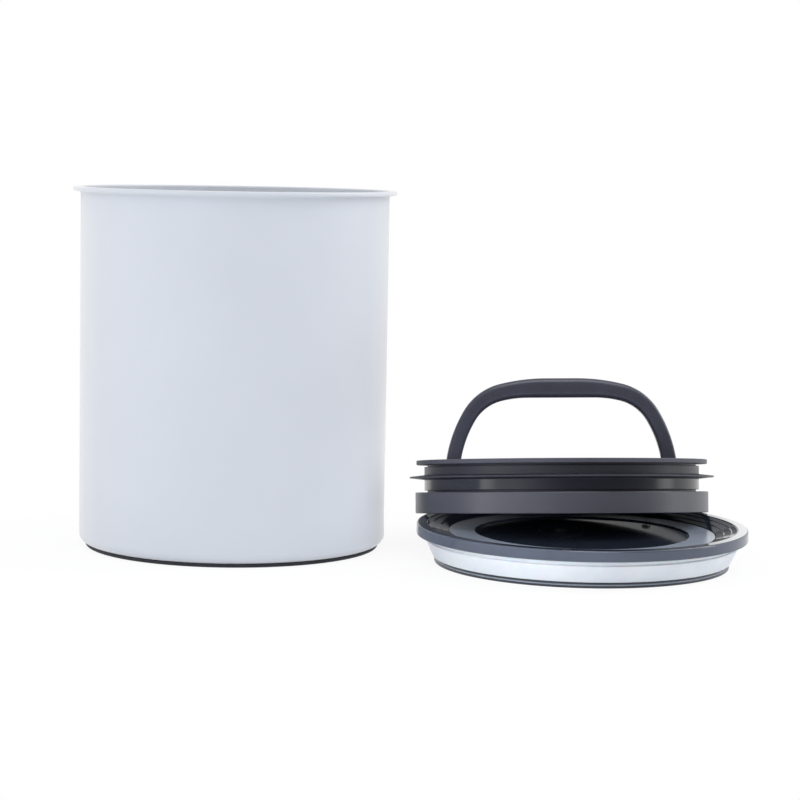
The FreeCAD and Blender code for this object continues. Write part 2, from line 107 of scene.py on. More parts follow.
# Inner lid, heights from the lower edge of its band
snug = 0.03              # room between pieces that fit into each other
band_radius = 84.0
band_height = 12.0
band_bore = 81.5
underside = 7.0
plate_top = 9.5
hub_radius = 78.8
hub_bore = 76.2
shadow_gap = 1.1
shadow_depth = 1.8
groove_margin = 0.2      # from the hub's face to where the finish of a shadow groove begins
neck_top = 18.9
wiper_top = 22.2
wiper_radius = 87.3
wiper_tip = 0.9
wiper_shoulder = 0.3
wiper_rounding = 0.35
flange_low = 27.7
flange_radius = 83.4
inner_lid_top = 30.3
well_radius = 70.0
well_wall = 2.5
deck_top = 20.0
deck_low = 18.0
edge_rounding = 0.5
cup_radius = 8.5
cup_wall = 2.0
cup_low = 11.0
cup_floor = 1.5
stem_guide = 2.55
seat_radius = 9.0

# Handle, shaft and bearings of the inner lid
pivot_height = 25.5
handle_depth = 9.0
handle_top = inner_lid_top + 47.2
handle_bar = 11.2
handle_half_span = 66.8
leg_inside = 58.3
outer_edge_shares = (0.132, 1.65)  # straight middle and crown radius, of the half span
inner_edge_shares = (0.33, 1.06)
foot_draw = 1.5          # how far each side of a foot draws in
arch_turns = np.radians([0, 14, 59, 85])  # where crown, shoulder and leg begin, and where the leg ends
shaft_radius = 2.0
shaft_proud = 0.3        # how far the shaft stands out of the legs
ear_middle = 52.5
ear_width = 6.0
ear_length = 18.0
ear_sink = 0.3           # how far the ears run into the deck
shaft_bore = 2.05
cap_thickness = 2.0
cap_hump = 4.0
cap_chamfer = 0.25
valve_plate_radius = 13.0
valve_plate_low = 1.8
valve_plate_top = 3.8
stem_radius = 2.53
spring_radius = 4.6
spring_wire = 0.8
spring_low = 13.0
spring_high = 15.7
spring_turns = 2

# Screws: radius and height of the head, radius and length of the shank
base_screw = {"head": 2.6, "height": 1.6, "shank": 1.25, "length": 9.0}
cap_screw = {"head": 1.9, "height": 1.4, "shank": 1.0, "length": 6.5}
cover_screw = {"head": 1.9, "height": 1.3, "shank": 1.0, "length": 3.0}
base_screw_count = 6
base_screw_circle = 60.0
cap_screw_reach = 6.4
cover_screw_reach = 17.5
cover_foot_thickness = 1.6
recess_width = 0.7
recess_share = 0.6       # its reach in the head's radius, and its depth in the head's height
recess_softness = 0.14
crown_share = 0.86       # of the head's radius, out to its rounded edge
crown_fall = 0.2         # of the head's height, down to that edge
brim_share = 0.55        # of the head's height, where its side begins
brim_rounding = 0.25     # of the head's height
seat_rounding = 0.1      # of the head's height
tip_share = 0.7          # of the shank's radius, at the blunt tip
tip_length = 0.3         # of the shank's radius

# Facets round the pieces and points along their curves
fine_sides = 256
lid_sides = 224
valve_sides = 96
screw_sides = 56
rod_sides = 48
section_points = 56
arch_points = (6, 10, 24, 20)  # on the straight middle, the crown, the shoulder and the leg
foot_points = 12
bore_points = 13
hump_points = 19
crown_points = 18
spring_steps = 48        # in each turn
wire_turn = 30           # degrees between points round the wire
piece_crease = 38.0      # degrees from which an edge is sharp
node_crease = 32.0       # the same for the nodes that are only smoothed
merge_distance = 1e-7    # metres, for the poles and seams of new pieces
node_merge_distance = 1e-6

# Noise of the finishes: the part of its range that moves tone, gloss and rings, and by how much
tone_range = (0.3, 0.7)
speck_range = (0.25, 0.75)
speck_gloss = (0.88, 1.12)
ring_gloss = (0.85, 1.2)
ring_stretch = 0.012     # change of the rings per mm round the piece

# Studio, in metres: the floor glows a little less near the object, so that its shadow shows
floor_half = 8.0
floor_colour = "#F4F5F6"
floor_middle = (0.1, -0.02, 0.0)
shadow_reach = (0.2, 0.5)
shadow_glow = (0.9, 1.0)
white = (1.0, 1.0, 1.0, 1.0)

# What mirrors the world sees it flattened, with panels in it: direction, the cosines at which a panel
# begins and is full, and its strength
world_flattening = (1.0, 1.0, 0.8)
panels = (
    ((0.50, -0.866, 0.0), 0.28, 0.98, 0.20),            # dim side behind the camera
    ((0.0556, 0.9906, 0.1253), 0.9965, 0.99905, 0.25),  # dark flag, low behind the lids
    ((0.06, 0.909, 0.413), 0.951, 0.978, 0.30),         # dark flag, higher behind the lids
    ((-0.93, -0.368, 0.0), 0.75, 0.97, 1.20),           # broad pale wall on the left
    ((-0.966, -0.259, 0.0), 0.950, 0.9995, 2.4),        # bright strip in front of it
    ((0.998, 0.04, -0.05), 0.968, 0.999, 2.8),          # bright strip on the right
    ((0.150, 0.981, 0.120), 0.9962, 0.9990, 1.9),       # bright strip behind on the right
    ((0.10, -0.70, 0.70), 0.925, 0.975, 8.0))           # small bright panel overhead

# Lamps: place and target, width and height, watts, spread in degrees, and whether mirrors show it.
# The fill lamp shines into the gap between the canister and the lids.
lamps = {
    "left_strip": ((-0.75, -0.75, 0.45), (0.1, -0.02, 0.08), (0.35, 0.9), 1.7, 180, False),
    "right_strip": ((1.15, 0.10, 0.85), (0.1, -0.02, 0.08), (0.35, 0.9), 4.8, 180, True),
    "fill": ((0.33, -0.70, 0.12), (0.113, -0.02, 0.03), (0.07, 0.07), 0.018, 10, False)}

# Camera, fitted to the canister's rim and base: place in mm, angles in degrees, focal length in pixels
camera_place = (94.9, -1418.8, 229.3)
camera_tip = 5.83
camera_roll = 1.02
focal_pixels = 2501.6
image_pixels = 800
sensor_width = 36.0
camera_range = 50.0

# Places: the canister stands on the origin. The outer lid's centre is its node's, and the inner
# lid's leaning frame follows from its two joints.
joints = {joint["name"]: joint for joint in frame["joints"]}
upright = np.eye(3)
canister_place = (upright, np.zeros(3))
lid_low, lid_high = (np.array(corner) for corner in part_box("outer_lid_flange"))
lid_place = (upright, np.append((lid_low + lid_high)[:2] / 2, 0.0) / MM)
across = np.array(joints["handle_fold"]["axis"])
upward = np.array(joints["valve_travel"]["axis"])
pivot = np.array(joints["handle_fold"]["pos_m"]) / MM
lean = np.stack([across, np.cross(upward, across), upward], axis=1)
inner_place = (lean, pivot - upward * pivot_height)


def linear(hex_colour):
    """Linear RGBA of an sRGB hex colour."""
    srgb = np.array([int(hex_colour[i:i + 2], 16) for i in (1, 3, 5)]) / 255
    rgb = np.where(srgb <= 0.04045, srgb / 12.92, ((srgb + 0.055) / 1.055) ** 2.4)
    return (*rgb.tolist(), 1.0)


def add(tree, kind, inputs=None, **settings):
    """Adds one node: settings are its properties, inputs are values or links for its sockets."""
    made = tree.nodes.new(kind)
    for name, value in settings.items():
        setattr(made, name, value)
    for name, value in (inputs or {}).items():
        if isinstance(value, bpy.types.NodeSocket):
            tree.links.new(value, made.inputs[name])
        else:
            made.inputs[name].default_value = value
    return made


def blank(name):
    """New material with an empty tree, its tree and its output node."""
    material = bpy.data.materials.new(name)
    material.use_nodes = True
    material.node_tree.nodes.clear()
    output = add(material.node_tree, "ShaderNodeOutputMaterial")
    return material, material.node_tree, output


def grained(name, deep, pale, roughness, cloud, grain, depth, **shader):
    """Solid finish whose colour drifts between two tones in clouds of one size in mm. A finer grain,
    in mm, moves the roughness a little and raises the surface by a depth in mm."""
    material, tree, output = blank(name)
    place = add(tree, "ShaderNodeTexCoord").outputs["Object"]
    clouds = add(tree, "ShaderNodeTexNoise", {"Vector": place, "Scale": 1 / (cloud * MM),
                                              "Detail": 4.0, "Roughness": 0.6})
    specks = add(tree, "ShaderNodeTexNoise", {"Vector": place, "Scale": 1 / (grain * MM),
                                              "Detail": 2.0, "Roughness": 0.5})
    drift = add(tree, "ShaderNodeMapRange", {"Value": clouds.outputs[0], "From Min": tone_range[0],
                                             "From Max": tone_range[1]})
    tone = add(tree, "ShaderNodeMix", {0: drift.outputs[0], 6: linear(deep), 7: linear(pale)},
               data_type="RGBA")
    gloss = add(tree, "ShaderNodeMapRange", {"Value": specks.outputs[0], "From Min": speck_range[0],
                                             "From Max": speck_range[1],
                                             "To Min": roughness * speck_gloss[0],
                                             "To Max": roughness * speck_gloss[1]})
    relief = add(tree, "ShaderNodeBump", {"Height": specks.outputs[0], "Strength": 1.0,
                                          "Distance": depth * MM})
    skin = add(tree, "ShaderNodeBsdfPrincipled", {"Base Color": tone.outputs[2],
                                                  "Roughness": gloss.outputs[0],
                                                  "Normal": relief.outputs[0]})
    for socket, value in shader.items():
        skin.inputs[socket.replace("_", " ")].default_value = value
    tree.links.new(skin.outputs[0], output.inputs[0])
    return material


def lathe_marked(name, deep, pale, roughness, spacing, depth, anisotropy):
    """Bare steel with fine rings left by turning or drawing: a noise that changes fast along the
    profile, v of the UV map in mm, and slowly round it, u."""
    material, tree, output = blank(name)
    chart = add(tree, "ShaderNodeUVMap").outputs[0]
    stretch = add(tree, "ShaderNodeMapping", {"Vector": chart,
                                              "Scale": (ring_stretch, 1 / spacing, 1.0)})
    rings = add(tree, "ShaderNodeTexNoise", {"Vector": stretch.outputs[0], "Scale": 1.0, "Detail": 5.0,
                                             "Roughness": 0.7})
    tone = add(tree, "ShaderNodeMix", {0: rings.outputs[0], 6: linear(deep), 7: linear(pale)},
               data_type="RGBA")
    gloss = add(tree, "ShaderNodeMapRange", {"Value": rings.outputs[0], "From Min": tone_range[0],
                                             "From Max": tone_range[1],
                                             "To Min": roughness * ring_gloss[0],
                                             "To Max": roughness * ring_gloss[1]})
    relief = add(tree, "ShaderNodeBump", {"Height": rings.outputs[0], "Strength": 1.0,
                                          "Distance": depth * MM})
    skin = add(tree, "ShaderNodeBsdfPrincipled", {"Base Color": tone.outputs[2],
                                                  "Roughness": gloss.outputs[0],
                                                  "Normal": relief.outputs[0], "Metallic": 1.0,
                                                  "Anisotropic": anisotropy})
    tree.links.new(skin.outputs[0], output.inputs[0])
    return material


# Powder-coated steel: a pale cool grey, satin, with the faint pebble of baked powder. The pebble is
# really about 0.3 mm and is drawn at 0.8 mm so that it shows. Seen at a slant it whitens softly.
powder_coat = grained("powder_coated_steel", "#C7CCD6", "#CACFD9",
                      roughness=0.42, cloud=60.0, grain=0.8, depth=0.010,
                      Specular_IOR_Level=0.5, Sheen_Weight=0.7, Sheen_Roughness=0.45,
                      Sheen_Tint=linear("#FFFDF6"))
# Stainless steel inside the canister: satin, with rings from spinning.
spun_steel = lathe_marked("spun_stainless_steel", "#E2E3E6", "#EFF0F2",
                          roughness=0.34, spacing=0.6, depth=0.004, anisotropy=0.5)
# Drawn steel of shaft, pins, screws and spring: a greyer metal with a fine grain.
drawn_steel = grained("drawn_steel", "#A4A5A9", "#BDBEC1",
                      roughness=0.28, cloud=4.0, grain=0.35, depth=0.004, Metallic=1.0)
# Rubber pad under the canister: dull and dark, a little mottled.
pad_rubber = grained("moulded_rubber", "#1E2029", "#282A34",
                     roughness=0.72, cloud=14.0, grain=0.9, depth=0.020)
# Smoke-tinted clear copolyester, injection moulded and glossy. It is a dark slate, because light must
# cross it twice. Its outer edge takes a lighter blue-grey copy: a painted glow for the light behind it.
smoke_dish = grained("smoke_copolyester", "#252B37", "#2B323F",
                     roughness=0.05, cloud=30.0, grain=2.5, depth=0.0012,
                     IOR=1.55, Transmission_Weight=0.1)
smoke_edge_painted_backlight = grained("smoke_copolyester_painted_backlight", "#4A5263", "#545D70",
                     roughness=0.12, cloud=26.0, grain=2.5, depth=0.0015,
                     IOR=1.55, Transmission_Weight=0.2)
# The same copolyester where the tool was blasted: a frosted ring round the floor of the dish. Its pale
# colour also paints the pale reflection of the studio in that ring, and a painted light line in the
# groove of the plug's bead.
frosted_ring_and_painted_light = grained("frosted_copolyester_and_painted_light", "#8791A1", "#949DAC",
                       roughness=0.24, cloud=18.0, grain=0.6, depth=0.004, IOR=1.55)
# White silicone, moulded: milky and satin, light soaks into it a little.
milky_silicone = grained("white_silicone", "#D9DFE8", "#E4E9EF",
                         roughness=0.48, cloud=22.0, grain=0.9, depth=0.008,
                         Subsurface_Weight=0.25, Subsurface_Scale=0.002)
# ABS of the housing, moulded in a fine-ground tool: dark blue grey and satin.
satin_abs = grained("satin_abs", "#242630", "#2A2C37",
                    roughness=0.38, cloud=35.0, grain=0.9, depth=0.006)
# The same ABS on the rim of the housing, where the tool was eroded: a paler, drier grey.
textured_abs = grained("eroded_abs", "#3F414D", "#464854",
                       roughness=0.50, cloud=35.0, grain=0.7, depth=0.010)
# The same ABS from a polished tool on the neck, which mirrors the studio.
polished_abs = grained("polished_abs", "#1A1C28", "#20222F",
                       roughness=0.15, cloud=35.0, grain=1.4, depth=0.0025)
# Polypropylene of the band, moulded in an eroded tool: lighter and matte.
band_polypropylene = grained("eroded_polypropylene", "#343642", "#3B3D4A",
                             roughness=0.36, cloud=30.0, grain=0.7, depth=0.010,
                             Specular_IOR_Level=0.9)
# Dark silicone of the wiper and the valve plate: satin, slightly dusty. It also lines the shadow
# grooves of the housing and the base, where its dull dark finish is painted shade that keeps them dark.
silicone_and_groove_shade = grained("dark_silicone", "#262833", "#2E303C",
                         roughness=0.42, cloud=18.0, grain=0.8, depth=0.010)
# Nylon of the handle, moulded: satin, with a soft shine along its edges.
handle_nylon = grained("moulded_nylon", "#353744", "#3C3E4D",
                       roughness=0.30, cloud=24.0, grain=0.8, depth=0.008)
# Acetal of the valve pieces: matte and waxy.
valve_acetal = grained("moulded_acetal", "#33343C", "#3A3B43",
                       roughness=0.46, cloud=12.0, grain=0.6, depth=0.008)


def outline(corners, closed=True, turn=11.0, margin=0.3):
    """Points of an outline through corners (first, second, rounding) in mm. Each rounding is an arc
    that touches both sides, with a point every few degrees. A straight side gets a point near
    either end, so that the shading of an edge does not run out over the flat."""
    corner = np.array([tuple(c) + (0.0,) * (3 - len(c)) for c in corners], float)
    point, rounding = corner[:, :2], corner[:, 2]
    back = np.roll(point, 1, axis=0) - point
    ahead = np.roll(point, -1, axis=0) - point
    back = back / np.linalg.norm(back, axis=1, keepdims=True)
    ahead = ahead / np.linalg.norm(ahead, axis=1, keepdims=True)
    half = np.arccos(np.clip((back * ahead).sum(axis=1), -1, 1)) / 2
    reach = (rounding / np.tan(half))[:, None]
    arrive, leave = point + back * reach, point + ahead * reach
    runs = []
    for i in range(len(point)):
        if rounding[i] > 0:
            inward = back[i] + ahead[i]
            middle = point[i] + inward / np.linalg.norm(inward) * rounding[i] / math.sin(half[i])
            start = math.atan2(*(arrive[i] - middle)[::-1])
            sweep = math.atan2(*(leave[i] - middle)[::-1]) - start
            sweep = (sweep + math.pi) % (2 * math.pi) - math.pi
            count = max(3, math.ceil(abs(sweep) / math.radians(turn)) + 1)
            angle = start + sweep * np.linspace(0, 1, count)
            runs.append(middle + rounding[i] * np.stack([np.cos(angle), np.sin(angle)], axis=1))
        else:
            runs.append(point[i:i + 1])
        if closed or i + 1 < len(point):
            side = arrive[(i + 1) % len(point)] - leave[i]
            length = np.linalg.norm(side)
            if length > 4 * margin:
                share = np.array([margin / length, 1 - margin / length])
                runs.append(leave[i] + share[:, None] * side)
    return np.concatenate(runs)


def lattice(points, rows_closed, columns_closed, finish=0, chart=None):
    """Quads over a grid of points (rows, columns, 3). The chart gives u by column and v by row in mm;
    a finish is one material number, or one for each row of quads."""
    rows, columns = points.shape[:2]
    i, j = np.meshgrid(np.arange(rows if rows_closed else rows - 1),
                       np.arange(columns if columns_closed else columns - 1), indexing="ij")
    following, beside = (i + 1) % rows, (j + 1) % columns
    quads = np.stack([i * columns + j, i * columns + beside,
                      following * columns + beside, following * columns + j], axis=-1)
    u, v = chart if chart else (np.arange(columns + 1.0), np.arange(rows + 1.0))
    uv = np.stack([np.stack([u[j], v[i]], -1), np.stack([u[j + 1], v[i]], -1),
                   np.stack([u[j + 1], v[i + 1]], -1), np.stack([u[j], v[i + 1]], -1)], axis=2)
    finishes = np.broadcast_to(np.reshape(finish, (-1, 1)), i.shape)
    return {"points": points.reshape(-1, 3), "quads": quads.reshape(-1, 4), "caps": [],
            "uv": uv.reshape(-1, 2), "finish": finishes.ravel()}


def turned(profile, closed=True, sides=192, finish=0):
    """Surface of revolution: the profile point (r, z), turned by a, is (r cos a, r sin a, z)."""
    angle = 2 * math.pi * np.arange(sides) / sides
    r, z = profile[:, :1], profile[:, 1:]
    points = np.stack(np.broadcast_arrays(r * np.cos(angle), r * np.sin(angle), z), axis=-1)
    ends = np.concatenate([profile, profile[:1]])
    v = np.append(0.0, np.cumsum(np.linalg.norm(np.diff(ends, axis=0), axis=1)))
    u = np.linspace(0, 2 * math.pi * profile[:, 0].max(), sides + 1)
    if callable(finish):
        middle = (ends[1:] + ends[:-1]) / 2
        finish = finish(middle[:, 0], middle[:, 1]).astype(int)
        finish = finish if closed else finish[:-1]
    return lattice(points, closed, True, finish, (u, v))


def extruded(section, low, high, chamfer):
    """Prism along the first axis: a closed section (y, z) between two ends, with chamfered ends. The
    section of an end is drawn in by the chamfer along the mean normal of its two sides."""
    side = np.roll(section, -1, axis=0) - section
    normal = np.stack([side[:, 1], -side[:, 0]], axis=1)
    normal = normal / np.linalg.norm(normal, axis=1, keepdims=True)
    before = np.roll(normal, 1, axis=0)
    miter = (normal + before) / (1 + (normal * before).sum(axis=1, keepdims=True))
    y, z = section.T
    turn = np.sign((y * np.roll(z, -1) - z * np.roll(y, -1)).sum())
    drawn_in = section - miter * chamfer * turn
    stations = [(low, drawn_in), (low + chamfer, section), (high - chamfer, section), (high, drawn_in)]
    points = np.stack([np.column_stack([np.full(len(section), x), yz]) for x, yz in stations])
    prism = lattice(points, False, True)
    count = len(section)
    prism["caps"] = [list(range(count)), list(range(3 * count, 4 * count))]
    return prism


def arc(middle, radius, start, end, count):
    """Points on a circle between two angles in degrees."""
    angle = np.radians(np.linspace(start, end, count))
    return np.stack([middle[0] + radius * np.cos(angle), middle[1] + radius * np.sin(angle)], axis=1)


def build(name, surfaces, place, finishes, body, node):
    """Joins surfaces in mm into one mesh at a place (rotation, origin) of the row frame, merges
    doubles at poles and seams, turns the faces outwards, and hands the piece to its body."""
    rotation, origin = place
    starts = np.cumsum([0] + [len(s["points"]) for s in surfaces])
    points = np.concatenate([s["points"] for s in surfaces]) @ rotation.T + origin
    faces = [face for s, start in zip(surfaces, starts) for face in (s["quads"] + start).tolist()]
    faces += [[start + i for i in cap] for s, start in zip(surfaces, starts) for cap in s["caps"]]
    mesh = bpy.data.meshes.new(name)
    mesh.from_pydata((points * MM).tolist(), [], faces)
    uv = np.zeros((len(mesh.loops), 2))
    charted = np.concatenate([s["uv"] for s in surfaces])
    uv[:len(charted)] = charted
    mesh.uv_layers.new(name="profile_mm").data.foreach_set("uv", uv.ravel())
    numbers = np.zeros(len(mesh.polygons), int)
    chosen = np.concatenate([s["finish"] for s in surfaces])
    numbers[:len(chosen)] = chosen
    mesh.polygons.foreach_set("material_index", numbers)
    work = bmesh.new()
    work.from_mesh(mesh)
    bmesh.ops.remove_doubles(work, verts=work.verts, dist=merge_distance)
    bmesh.ops.recalc_face_normals(work, faces=work.faces)
    work.to_mesh(mesh)
    work.free()
    settle(name, mesh, finishes, body, node, piece_crease)


def settle(name, mesh, finishes, body, node, crease):
    """Smooth shading up to a crease angle, the materials and the piece's body; the CAD node it replaces
    is hidden.
    """
    mesh.polygons.foreach_set("use_smooth", np.ones(len(mesh.polygons), bool))
    mesh.set_sharp_from_angle(angle=math.radians(crease))
    for finish in finishes:
        mesh.materials.append(finish)
    piece = bpy.data.objects.new(name, mesh)
    bpy.context.scene.collection.objects.link(piece)
    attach(piece, body)
    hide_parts(node)


def smoothed(name, node, finish, body):
    """Copy of a CAD node whose loose triangles are merged, so that its round faces shade evenly."""
    mesh = frame["nodes"][node].data.copy()
    mesh.name = name
    mesh.materials.clear()
    work = bmesh.new()
    work.from_mesh(mesh)
    bmesh.ops.remove_doubles(work, verts=work.verts, dist=node_merge_distance)
    work.to_mesh(mesh)
    work.free()
    # Zero vectors clear the normals that come with the node
    mesh.normals_split_custom_set([(0.0, 0.0, 0.0)] * len(mesh.loops))
    settle(name, mesh, [finish], body, node, node_crease)


def canister_body():
    """One profile up the outside, over the flat rolled rim and down the inside to the floor. The coat
    covers the outside, the rim and the mouth; what lies nearer to the inner skin is bare steel."""
    rim_under = canister_height - rim_thickness
    profile = outline([
        (0, pad_height),
        (canister_radius, pad_height, base_corner),
        (canister_radius, rim_under, rim_thickness - rim_rounding),
        (rim_radius, rim_under, rim_rounding),
        (rim_radius, canister_height, rim_rounding),
        (bore_radius, canister_height, mouth_rounding),
        (bore_radius, canister_height - mouth_coated),
        (bore_radius, pad_height + sheet, base_corner - sheet),
        (0, pad_height + sheet)], closed=False)

    def inside(r, z):
        """Faces within half a sheet of the inner skin, by their reach from the base corner's core."""
        reach = np.hypot(np.maximum(r - canister_radius + base_corner, 0),
                         np.maximum(pad_height + base_corner - z, 0))
        return (reach < base_corner - sheet / 2) & (z < canister_height - mouth_coated)

    build("canister_body", [turned(profile, False, fine_sides, inside)], canister_place,
          [powder_coat, spun_steel], "canister", "canister_shell")


def base_pad():
    """Flat disc with a rounded edge and grip grooves in its underside."""
    grooves = []
    for radius in pad_groove_radii:
        near, far = radius - pad_groove_width / 2, radius + pad_groove_width / 2
        grooves += [(near, 0, pad_rounding / 2), (near, pad_groove_depth, pad_rounding / 2),
                    (far, pad_groove_depth, pad_rounding / 2), (far, 0, pad_rounding / 2)]
    profile = outline([(0, 0)] + grooves + [
        (pad_radius, 0, pad_foot_rounding),
        (pad_radius, pad_height, pad_rounding),
        (0, pad_height)], closed=False)
    build("grip_pad", [turned(profile, False)], canister_place,
          [pad_rubber], "canister", "base_pad")


def outer_lid_flange():
    """Broad rim with sloping ledges that step down to the pane."""
    ledge, level, steps = land_radius, lid_height, []
    for width in ledge_widths:
        steps += [(ledge, level, ledge_rounding),
                  (ledge - ledge_slope, level - ledge_drop, ledge_rounding)]
        level -= ledge_drop + width * ledge_fall
        ledge -= ledge_slope + width
    profile = outline([
        (lid_radius, flange_under, ledge_rounding),
        (lid_radius, lid_height, flange_rounding)] + steps + [
        (ledge, level, ledge_rounding),
        (pane_radius, pane_top),
        (pane_radius, pane_rim_top),
        (plug_radius, pane_rim_top),
        (plug_radius, flange_under)], margin=0.2)

    # The outer face of the flange takes the lighter copy: painted backlight.
    def edge(r, z):
        return r > lid_radius - flange_rounding / 2

    build("lid_flange", [turned(profile, True, fine_sides, edge)], lid_place,
          [smoke_dish, smoke_edge_painted_backlight], "outer_lid", "outer_lid_flange")


def outer_lid_pane():
    """Round pane, sunk and clear in the middle, with a frosted ring round it whose pale colour is partly
    a painted reflection.
    """
    disc = pane_top - disc_drop
    disc_radius = pane_radius - floor_ring_width - ledge_slope
    low_radius = disc_radius - pane_thickness / 2
    profile = outline([
        (0, disc - pane_thickness),
        (low_radius, disc - pane_thickness, ledge_rounding),
        (low_radius + ledge_slope, pane_low, ledge_rounding),
        (plug_radius - snug, pane_low),
        (plug_radius - snug, pane_rim_top),
        (pane_radius - snug, pane_rim_top),
        (pane_radius - snug, pane_top),
        (disc_radius + ledge_slope, pane_top, ledge_rounding),
        (disc_radius, disc, ledge_rounding),
        (0, disc)], closed=False, margin=0.2)

    # The frosted ring's pale colour is partly a painted reflection of the studio.
    def frosted(r, z):
        return (r > disc_radius + ledge_slope) & (z > pane_top - ledge_rounding)

    build("lid_pane", [turned(profile, False, lid_sides, frosted)], lid_place,
          [smoke_dish, frosted_ring_and_painted_light], "outer_lid", "outer_lid_pane")


def outer_lid_plug():
    """Skirt under the pane, with a grooved bead round its foot."""
    plug_bore = plug_radius - plug_wall
    groove_low = (bead_height - bead_groove_width) / 2
    groove_high = groove_low + bead_groove_width
    profile = outline([
        (plug_bore, pane_low),
        (plug_bore, 0, ledge_rounding),
        (bead_radius, 0, ledge_rounding),
        (bead_radius, groove_low, ledge_rounding / 2),
        (bead_radius - bead_groove_depth, groove_low),
        (bead_radius - bead_groove_depth, groove_high),
        (bead_radius, groove_high, ledge_rounding / 2),
        (bead_radius, bead_height, ledge_rounding),
        (plug_radius, bead_height),
        (plug_radius, pane_low)], margin=0.2)

    # The groove of the bead takes the pale frosted finish: a painted light line between its dark edges.
    def painted_groove(r, z):
        return (r > plug_radius) & (r < bead_radius - bead_groove_depth / 2) \
            & (z > groove_low) & (z < groove_high)

    build("lid_plug", [turned(profile, True, lid_sides, painted_groove)], lid_place,
          [smoke_dish, frosted_ring_and_painted_light], "outer_lid", "outer_lid_plug")


def outer_lid_gasket():
    """Ring with a bead under the flange and a lip that tapers towards the plug's foot."""
    profile = outline([
        (gasket_seat, bead_height),
        (gasket_foot, bead_height, gasket_rounding),
        (gasket_lip, gasket_groove_low, gasket_rounding),
        (gasket_lip - gasket_groove_depth, gasket_groove_low),
        (gasket_lip - gasket_groove_depth, gasket_bead_low),
        (gasket_lip, gasket_bead_low, gasket_rounding),
        (gasket_lip, flange_under, gasket_rounding),
        (gasket_seat, flange_under)])
    build("lid_gasket", [turned(profile, True, lid_sides)], lid_place,
          [milky_silicone], "outer_lid", "outer_lid_gasket")


def bearings(section):
    """The same section at either end of the shaft, as wide as an ear."""
    return [extruded(section, side * ear_middle - ear_width / 2, side * ear_middle + ear_width / 2,
                     cap_chamfer) for side in (-1, 1)]


def inner_lid_housing():
    """Flange, hub and well with the valve's cup, as one ring round the stem guide, and the two ears
    that carry the shaft."""
    cup_outside = cup_radius + cup_wall
    well_outside = well_radius + well_wall
    shadow = hub_radius - shadow_depth
    profile = outline([
        (stem_guide, cup_low),
        (cup_outside, cup_low, edge_rounding),
        (cup_outside, deck_low, edge_rounding),
        (well_outside, deck_low, edge_rounding),
        (well_outside, flange_low),
        (hub_bore, flange_low),
        (hub_bore, wiper_top),
        (hub_radius, wiper_top),
        (hub_radius, flange_low - shadow_gap, edge_rounding / 2),
        (shadow, flange_low - shadow_gap),
        (shadow, flange_low),
        (flange_radius, flange_low, edge_rounding),
        (flange_radius, inner_lid_top, edge_rounding),
        (well_radius, inner_lid_top, edge_rounding),
        (well_radius, deck_top, 2 * edge_rounding),
        (cup_radius, deck_top),
        (cup_radius, cup_low + cup_floor, edge_rounding),
        (stem_guide, cup_low + cup_floor)])
    half, foot = ear_length / 2, deck_top - ear_sink
    ear = np.concatenate([
        [(-half, foot), (half, foot), (half, pivot_height)],
        arc((0, pivot_height), shaft_bore, 360, 180, bore_points), [(-half, pivot_height)]])

    def parts(r, z):
        # The shadow groove takes the dark silicone finish: painted shade.
        painted_groove = (r < hub_radius - groove_margin) & (r > hub_bore) & (z < flange_low)
        return np.where(r > flange_radius - edge_rounding / 2, 2, painted_groove)

    build("lid_housing", [turned(profile, True, fine_sides, parts)] + bearings(ear), inner_place,
          [satin_abs, silicone_and_groove_shade, textured_abs], "inner_lid", "inner_lid_housing")


def inner_lid_band():
    """Wide matte ring that hooks over the rim of the plate."""
    hook = hub_radius - shadow_depth + snug
    profile = outline([
        (band_radius, 0, edge_rounding),
        (band_radius, band_height, edge_rounding),
        (hook, band_height),
        (hook, plate_top + snug),
        (band_bore, plate_top + snug),
        (band_bore, 0, edge_rounding)])
    build("lid_band", [turned(profile, True, fine_sides)], inner_place,
          [band_polypropylene], "inner_lid", "inner_lid_band")


def inner_lid_base():
    """Plate with the valve seat, under the polished neck that carries the wiper."""
    plate_radius = band_bore - snug
    shadow = hub_radius - shadow_depth
    profile = outline([
        (plate_radius, underside, edge_rounding),
        (plate_radius, plate_top),
        (shadow, plate_top),
        (shadow, band_height + shadow_gap),
        (hub_radius, band_height + shadow_gap, edge_rounding / 2),
        (hub_radius, neck_top),
        (hub_bore, neck_top),
        (hub_bore, plate_top),
        (seat_radius, plate_top),
        (seat_radius, underside)])

    # The shadow groove above the band takes the dark silicone finish: painted shade.
    def painted_groove(r, z):
        return (r < hub_radius - groove_margin) & (r > hub_bore) & (z > plate_top)

    build("lid_base", [turned(profile, True, fine_sides, painted_groove)], inner_place,
          [polished_abs, silicone_and_groove_shade], "inner_lid", "inner_lid_base")


def wiper_seal():
    """Collar with a lip that thins towards its tip."""
    middle = (neck_top + wiper_top) / 2
    profile = outline([
        (hub_bore, neck_top),
        (hub_radius, neck_top),
        (hub_radius, neck_top + wiper_shoulder),
        (wiper_radius, middle - wiper_tip / 2, wiper_rounding),
        (wiper_radius, middle + wiper_tip / 2, wiper_rounding),
        (hub_radius, wiper_top - wiper_shoulder),
        (hub_radius, wiper_top),
        (hub_bore, wiper_top)])
    build("lid_wiper", [turned(profile, True, lid_sides)], inner_place,
          [silicone_and_groove_shade], "inner_lid", "wiper_seal")


